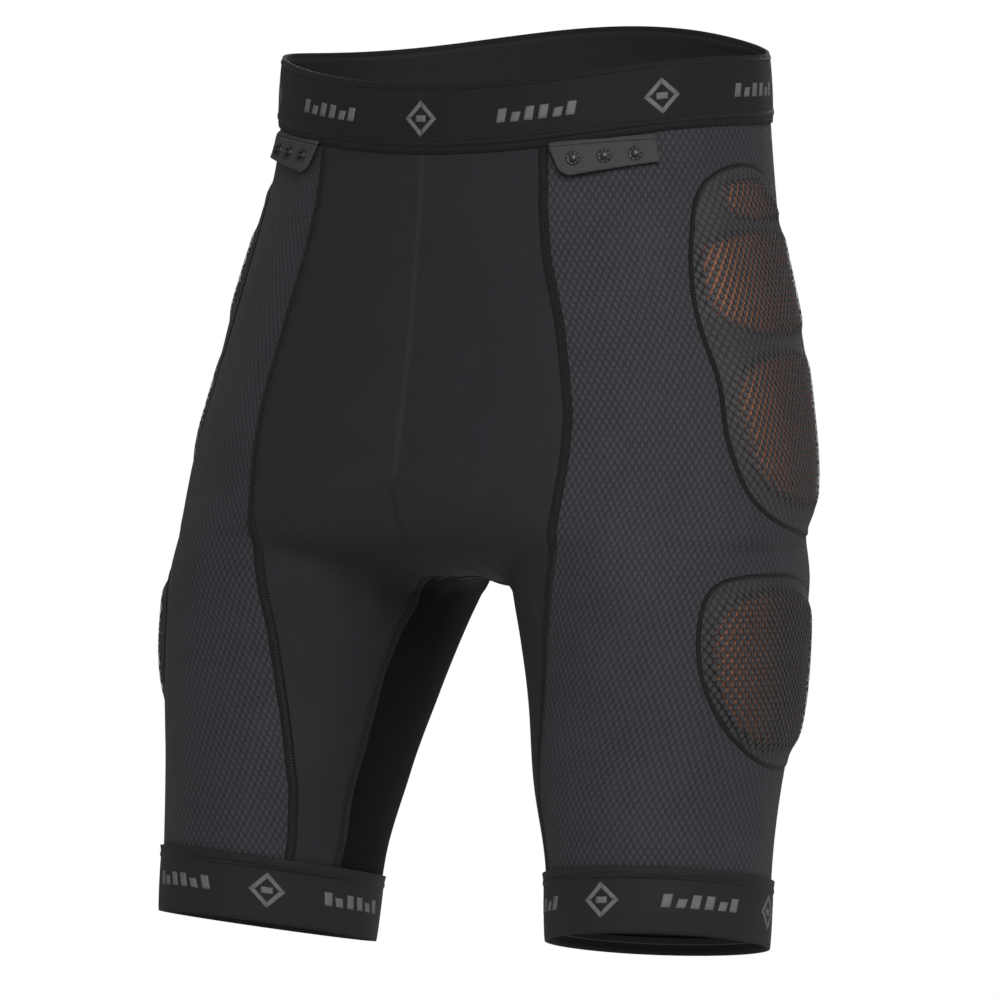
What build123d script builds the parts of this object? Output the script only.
from build123d import *
import os

# Padded impact shorts: a close-fitting stretch liner with soft armour pads sewn
# into mesh pockets on the hips, thighs and tailbone, a seat pad in the crotch and
# two snap tabs under the waistband. Millimetres. The front faces -Y, the wearer's
# left is +X, and the middle of the waist opening is the origin once everything is
# moved up by ORIGIN_HEIGHT. Heights below are above the lowest point of the hems.

ORIGIN_HEIGHT = 499.5

# Elliptical cross-sections of the bare garment interior.
# height, half width, centre y, half depth
TORSO_LEVELS = [
    (196, 120, -26, 62),
    (218, 183, -22, 104),
    (240, 191, -17, 110),
    (275, 186, -6.5, 113.5),
    (320, 176, 1, 112),
    (365, 164, 5, 108.5),
    (410, 153, 8.5, 105.5),
    (460, 146, 11, 104),
    (520, 142, 11, 103),
]
# height, centre x, centre y, half width, half depth
LEG_LEVELS = [
    (-20, 132, -61, 58, 60),
    (30, 130, -57, 59, 61),
    (80, 125, -50, 64, 67),
    (130, 121, -40, 71, 75),
    (175, 116, -32, 77, 83),
    (218, 109, -24, 82, 91),
    (250, 98, -20, 72, 82),
]

# Thicknesses, stacked outward from the skin side of the fabric
FABRIC = 1.2
SEAM_RISE = 0.6
BAND = 1.8
STITCH_RISE = 0.5
PAD = 7.0
COVER = 1.0
LINING = 0.8
LAYER_GAP = 0.05

# Waistband: the rim and its lower edge lie in planes that rise toward the back
RIM_SLOPE = 0.156
RIM_HEIGHT = 498
WAISTBAND_TALL = 38
WAIST_STITCH_ROW = (2.5, 7.5)
BACKING_ROW = (2, 35)

# Hems: planes that drop toward the back and rise toward the outside of the leg
HEM_HEIGHT = 12
HEM_DROP_BACK = 0.16
HEM_RISE_OUT = 0.065
LEG_BAND_TALL = 37
LEG_STITCH_ROW = (31, 35)
GRIPPER_ROWS = [(6, 10), (14, 18), (22, 26)]
HEM_CENTRE = (131, -59)

SEAM_WIDE = 6
POCKET_SEAM_WIDE = 5

# Panel seams seen from the front, as (x, height), on the left side
FRONT_SEAM = [
    (66, 475), (73, 437), (78, 390), (90, 350), (98, 318), (102, 280),
    (99, 225), (91, 178), (84, 119), (83, 85), (87, 45), (90, -25),
]
INNER_FRONT_SEAM = [(0, 213), (22, 208), (35, 196), (49, 156), (58, 111), (71, 45), (80, -25)]
# Panel seams seen from the back
BACK_SEAM = [(70, 475), (74, 430), (88, 350), (101, 290), (108, 225), (112, 150), (113, 50), (114, -25)]
INNER_BACK_SEAM = [(0, 222), (26, 216), (50, 200), (66, 168), (78, 120), (90, 45), (96, -25)]
# The plane that divides front seams from back seams runs through the middle of the legs
SPLIT_Y = -64
SPLIT_LEAN = 0.2

# Pocket outlines seen from the side, as (y, height)
HIP_POCKET = [
    (-6, 436), (-33, 424), (-47, 390), (-53, 352), (-52, 318), (-56, 282), (-47, 255),
    (-20, 242), (22, 239), (46, 256), (52, 290), (47, 325), (45, 360), (38, 400), (22, 428),
]
THIGH_POCKET = [
    (-58, 212), (-80, 205), (-87, 180), (-84, 152), (-71, 129), (-46, 114),
    (-16, 112), (6, 126), (16, 160), (13, 194), (-6, 210),
]
# The side pockets are cut from the outer wall only, beyond these distances from the middle
HIP_START = 80
THIGH_START = 120
TAIL_POCKET = [(0, 440), (26, 434), (36, 410), (30, 375), (16, 345), (0, 334)]
POCKET_HEM = 6

# Notches that let the pads flex, as (y, height, radius) on the pad's front and back edges
HIP_NOTCHES = [(-58, 345, 16), (-60, 300, 10), (54, 343, 14), (56, 392, 10)]

# Snap tabs under the waistband: flat flaps across the front corners of the hips,
# each in a plane turned TAB_ANGLE from the front and TAB_ALONG further round
TAB_ANGLE = 33
TAB_ALONG = 47.5
TAB_REACH = 115.7
TAB_TOP_HEIGHT = 450.5
TAB_ROLL = 4.5
TAB_LEAN = 9
TAB_THICK = 1.2
TAB_GAP = 0.35
# Outline seen from outside, from the sewn edge down, as (along, down)
TAB_OUTLINE = [(-30, 0), (29, 0), (30, 13), (-20, 17), (-26, 12)]
ANCHOR_LONG = 59
ANCHOR_TALL = 5
ANCHOR_DEEP = 14
STUD_PITCH = 17
STUD_DOWN = 7.5
STUD_BASE_RADIUS = 4
STUD_BASE_TALL = 0.9
STUD_KNOB_RADIUS = 1.9
STUD_KNOB_TALL = 1.8
PRONG_RADIUS = 4.2
PRONG_HOLE = 2.2
PRONG_TALL = 0.7

# Seat pad inside the crotch, seen from above, as (x, y) on the left side
SEAT_OUTLINE = [(0, -92), (28, -86), (38, -40), (46, 0), (66, 50), (52, 84), (0, 92)]
SEAT_TOP = 236
SEAT_BOTTOM = 160
SEAT_BASE = 1.2
SEAT_FOAM = 6.5
SEAT_INSET = 7

LABEL_WIDE = 30
LABEL_TALL = 42
LABEL_THICK = 0.5

FAR = 400


def torso(grow):
    """Pelvis and waist, grown outward by an even amount."""
    sections = []
    for index, (height, half_wide, y, half_deep) in enumerate(TORSO_LEVELS):
        if index == 0:
            height -= grow
        sections.append(Pos(0, y, height) * Ellipse(half_wide + grow, half_deep + grow))
    return loft(sections)


def leg(grow):
    """The left leg tube, grown outward by an even amount."""
    sections = []
    for height, x, y, half_wide, half_deep in LEG_LEVELS:
        sections.append(Pos(x, y, height) * Ellipse(half_wide + grow, half_deep + grow))
    return loft(sections)


def to_right(shape):
    return mirror(shape, about=Plane.YZ)


def body(grow):
    left = leg(grow)
    return torso(grow) + left + to_right(left)


def slab(origin, normal, low, high):
    """Everything between two parallel planes, measured along the normal from origin."""
    plane = Plane(origin=origin, z_dir=normal)
    return extrude(plane.offset(low) * Rectangle(4 * FAR, 4 * FAR), high - low)


def waist_slab(low, high):
    """Between two heights measured down from (negative) or up from the rim."""
    return slab((0, 0, RIM_HEIGHT), (0, -RIM_SLOPE, 1), low, high)


def hem_slab(low, high):
    """Between two heights above the left hem."""
    x, y = HEM_CENTRE
    return slab((x, y, HEM_HEIGHT), (-HEM_RISE_OUT, HEM_DROP_BACK, 1), low, high)


def front_half():
    """In front of the plane that runs through the middle of the legs."""
    return slab((0, SPLIT_Y, 0), (0, -1, SPLIT_LEAN), 0, FAR)


def solids_of(shape):
    return Compound(children=list(shape.solids()))


def face_between(left_edge):
    """A face in the XZ plane between a left-hand seam line and its mirror image."""
    points = [Vector(x, 0, height) for x, height in left_edge]
    mirrored = [Vector(-point.X, 0, point.Z) for point in points]
    left = Spline(*points)
    right = Spline(*mirrored)
    ends = [Line(points[-1], mirrored[-1])]
    if points[0].X > 0:
        ends.append(Line(points[0], mirrored[0]))
    return make_face([left, right, *ends])


def through_y(face):
    return extrude(face, FAR, dir=(0, 1, 0), both=True)


def seam_prism(line, wide):
    """A strip of even width along a seam line, cut right through from front to back."""
    points = [Vector(x, 0, height) for x, height in line]
    path = Spline(*points)
    edge_out = []
    edge_in = []
    steps = 4 * len(line)
    for step in range(steps + 1):
        place = path @ (step / steps)
        along = path % (step / steps)
        side = Vector(along.Z, 0, -along.X) * (wide / 2)
        edge_out.append(place + side)
        edge_in.append(place - side)
    outline = [Spline(*edge_out), Spline(*edge_in)]
    outline.append(Line(edge_out[0], edge_in[0]))
    outline.append(Line(edge_out[-1], edge_in[-1]))
    return through_y(make_face(outline))


def grown(points, grow):
    """The points of a closed outline moved outward by an even amount."""
    count = len(points)
    area = 0
    for index in range(count):
        a, b = points[index - 1]
        c, d = points[index]
        area += a * d - c * b
    outward = grow if area > 0 else -grow
    moved = []
    for index, (a, b) in enumerate(points):
        before = points[index - 1]
        after = points[(index + 1) % count]
        along = Vector(after[0] - before[0], after[1] - before[1]).normalized()
        moved.append((a + outward * along.Y, b - outward * along.X))
    return moved


def with_mirror(points):
    """A closed outline from its left half, which starts and ends on the middle line."""
    return points + [(-x, other) for x, other in reversed(points[1:-1])]


def side_cut(outline, grow, start):
    """The space behind an outline seen from the side, from x = start outward."""
    rim = [Vector(start, y, height) for y, height in grown(outline, grow)]
    return extrude(make_face(Spline(*rim, periodic=True)), FAR, dir=(1, 0, 0))


def back_cut(outline, grow):
    """The space in front of an outline seen from the back."""
    rim = [Vector(x, 0, height) for x, height in grown(with_mirror(outline), grow)]
    return extrude(make_face(Spline(*rim, periodic=True)), FAR, dir=(0, 1, 0))


def seat_cut(grow):
    """The space above the seat pad's outline seen from above."""
    rim = [Vector(x, y, SEAT_BOTTOM) for x, y in grown(with_mirror(SEAT_OUTLINE), grow)]
    tall = SEAT_TOP - SEAT_BOTTOM
    return extrude(make_face(Spline(*rim, periodic=True)), tall, dir=(0, 0, 1))


def pocket(surface, cut, notches=()):
    """Pad, mesh cover and border seam of one pocket on a surface that can be grown."""
    bare = surface(FABRIC + LAYER_GAP)
    filled = surface(FABRIC + PAD)
    domed = surface(FABRIC + PAD + COVER)
    seam_top = surface(FABRIC + SEAM_RISE)
    mouth = cut(0)
    room = cut(-COVER)
    border = cut(POCKET_SEAM_WIDE)
    core = cut(-POCKET_HEM)
    for y, height, radius in notches:
        notch = Plane.YZ * Pos(y, height) * Circle(radius)
        core -= extrude(notch, FAR, dir=(1, 0, 0))
    pad = (filled - bare) & core
    cover = ((domed - bare) & mouth) - ((filled - bare) & room)
    seam = ((seam_top - bare) & border) - mouth
    return pad, cover, seam


def tab_place(out, down, along=0.0, lean=0.0):
    """A plane on the left tab: x along the tab, y up it, z out of it."""
    frame = Rot(0, 0, TAB_ANGLE) * Pos(TAB_ALONG, -TAB_REACH, TAB_TOP_HEIGHT)
    frame = frame * Rot(0, -TAB_ROLL, 0) * Rot(90 - lean, 0, 0)
    return frame * Pos(along, -down, out)


parts = {}
skin_in = body(0)
skin_out = body(FABRIC)
seam_out = body(FABRIC + SEAM_RISE)
torso_in = torso(0)
leg_in = leg(0)

below_waistband = waist_slab(-4 * FAR, -WAISTBAND_TALL)
below_rim = waist_slab(-WAISTBAND_TALL, 0)
above_left_band = hem_slab(LEG_BAND_TALL, 3 * FAR)
above_bands = above_left_band & Pos(FAR, 0, 0) * Box(2 * FAR, 4 * FAR, 4 * FAR)
above_bands = above_bands + to_right(above_bands)
mid_garment = below_waistband & above_bands

# Stretch fabric panels
fabric = (skin_out - skin_in) & mid_garment
front = front_half()
front_zone = through_y(face_between(FRONT_SEAM)) & front
back_zone = through_y(face_between(BACK_SEAM)) - front
inner_zone = (through_y(face_between(INNER_FRONT_SEAM)) & front) + (
    through_y(face_between(INNER_BACK_SEAM)) - front
)
parts["crotch_gusset"] = fabric & inner_zone
outer_fabric = fabric - inner_zone
parts["front_panel"] = outer_fabric & front_zone
parts["back_panel"] = outer_fabric & back_zone
side_fabric = outer_fabric - front_zone - back_zone
left_space = Pos(FAR, 0, 0) * Box(2 * FAR, 4 * FAR, 4 * FAR)
parts["side_panel_left"] = side_fabric & left_space
parts["side_panel_right"] = to_right(parts["side_panel_left"])

# Raised flatlock seams between the panels
seam_layer = (seam_out - skin_out) & mid_garment
front_strip = seam_prism(FRONT_SEAM, SEAM_WIDE) & front & left_space
back_strip = (seam_prism(BACK_SEAM, SEAM_WIDE) - front) & left_space
parts["front_seam_left"] = seam_layer & front_strip
parts["front_seam_right"] = to_right(parts["front_seam_left"])
parts["back_seam_left"] = seam_layer & back_strip
parts["back_seam_right"] = to_right(parts["back_seam_left"])
inner_front_strip = seam_prism(INNER_FRONT_SEAM, SEAM_WIDE) & front
inner_back_strip = seam_prism(INNER_BACK_SEAM, SEAM_WIDE) - front
parts["inner_front_seam"] = (seam_layer & (inner_front_strip + to_right(inner_front_strip)))
parts["inner_back_seam"] = (seam_layer & (inner_back_strip + to_right(inner_back_strip)))

# Waistband, its soft backing and the stitch row along its lower edge
waist_outer = torso(BAND)
parts["waistband"] = (waist_outer - torso_in) & below_rim
row_low, row_high = BACKING_ROW
backing_zone = waist_slab(-WAISTBAND_TALL + row_low, -WAISTBAND_TALL + row_high)
parts["waistband_backing"] = (torso_in - torso(-LINING)) & backing_zone
row_low, row_high = WAIST_STITCH_ROW
row_zone = waist_slab(-WAISTBAND_TALL + row_low, -WAISTBAND_TALL + row_high)
parts["waist_stitching"] = (torso(BAND + STITCH_RISE) - waist_outer) & row_zone

# Leg bands, grippers and stitch rows
band_outer = leg(BAND)
parts["leg_band_left"] = (band_outer - leg_in) & hem_slab(0, LEG_BAND_TALL)
grip_layer = leg_in - leg(-LINING)
grip_zone = [hem_slab(low, high) for low, high in GRIPPER_ROWS]
parts["leg_gripper_left"] = Compound(children=[s for z in grip_zone for s in (grip_layer & z).solids()])
stitch_layer = leg(BAND + STITCH_RISE) - band_outer
parts["leg_stitching_left"] = stitch_layer & hem_slab(*LEG_STITCH_ROW)

# Armour pads in their pockets
pad, cover, seam = pocket(
    torso, lambda grow: side_cut(HIP_POCKET, grow, HIP_START), HIP_NOTCHES
)
parts["hip_pad_left"] = pad
parts["hip_pocket_cover_left"] = cover
parts["hip_pocket_seam_left"] = seam
pad, cover, seam = pocket(leg, lambda grow: side_cut(THIGH_POCKET, grow, THIGH_START))
parts["thigh_pad_left"] = pad
parts["thigh_pocket_cover_left"] = cover
parts["thigh_pocket_seam_left"] = seam
pad, cover, seam = pocket(torso, lambda grow: back_cut(TAIL_POCKET, grow))
parts["tailbone_pad"] = pad
parts["tailbone_pocket_cover"] = cover
parts["tailbone_pocket_seam"] = seam

# Seat pad inside the crotch: a thin base with thicker foam on it
base_inner = body(-SEAT_BASE)
parts["seat_pad_base"] = (skin_in - base_inner) & seat_cut(0)
foam_outer = body(-SEAT_BASE - LAYER_GAP)
foam_inner = body(-SEAT_BASE - SEAT_FOAM)
parts["seat_pad_foam"] = (foam_outer - foam_inner) & seat_cut(-SEAT_INSET)

# Care label inside the back of the waist
label_zone = Pos(0, FAR / 2, 0) * Box(LABEL_WIDE, FAR, 4 * FAR)
label_zone = label_zone & waist_slab(-WAISTBAND_TALL - LABEL_TALL, -WAISTBAND_TALL)
parts["care_label"] = (torso(-LAYER_GAP) - torso(-LAYER_GAP - LABEL_THICK)) & label_zone

# Snap tab: the sewn-down anchor, the flap, its studs and the prong rings behind them
outline = make_face(Polyline(*[(along, -down) for along, down in TAB_OUTLINE], close=True))
parts["snap_tab_left"] = tab_place(0, TAB_GAP, lean=TAB_LEAN) * extrude(outline, TAB_THICK)
anchor = Box(ANCHOR_LONG, ANCHOR_TALL, ANCHOR_DEEP, align=(Align.CENTER, Align.MIN, Align.MAX))
anchor = tab_place(TAB_THICK, 0) * anchor
parts["tab_anchor_left"] = anchor - torso(BAND + STITCH_RISE + LAYER_GAP)
studs = []
rings = []
for slot in (-1, 0, 1):
    place = tab_place(TAB_THICK, STUD_DOWN + TAB_GAP, slot * STUD_PITCH, TAB_LEAN)
    base = Cylinder(STUD_BASE_RADIUS, STUD_BASE_TALL, align=(Align.CENTER, Align.CENTER, Align.MIN))
    knob = Cylinder(STUD_KNOB_RADIUS, STUD_KNOB_TALL, align=(Align.CENTER, Align.CENTER, Align.MIN))
    studs.append(place * (base + Pos(0, 0, STUD_BASE_TALL) * knob))
    place = tab_place(0, STUD_DOWN + TAB_GAP, slot * STUD_PITCH, TAB_LEAN)
    ring = Cylinder(PRONG_RADIUS, PRONG_TALL, align=(Align.CENTER, Align.CENTER, Align.MAX))
    rings.append(place * (ring - Cylinder(PRONG_HOLE, 4 * PRONG_TALL)))
parts["snap_studs_left"] = Compound(children=studs)
parts["snap_prong_rings_left"] = Compound(children=rings)

for name in [name for name in parts if name.endswith("_left")]:
    twin = name.replace("_left", "_right")
    if twin not in parts:
        parts[twin] = to_right(parts[name])

os.makedirs("parts", exist_ok=True)
for name, shape in parts.items():
    export_step(Pos(0, 0, -ORIGIN_HEIGHT) * solids_of(shape), f"parts/{name}.step")
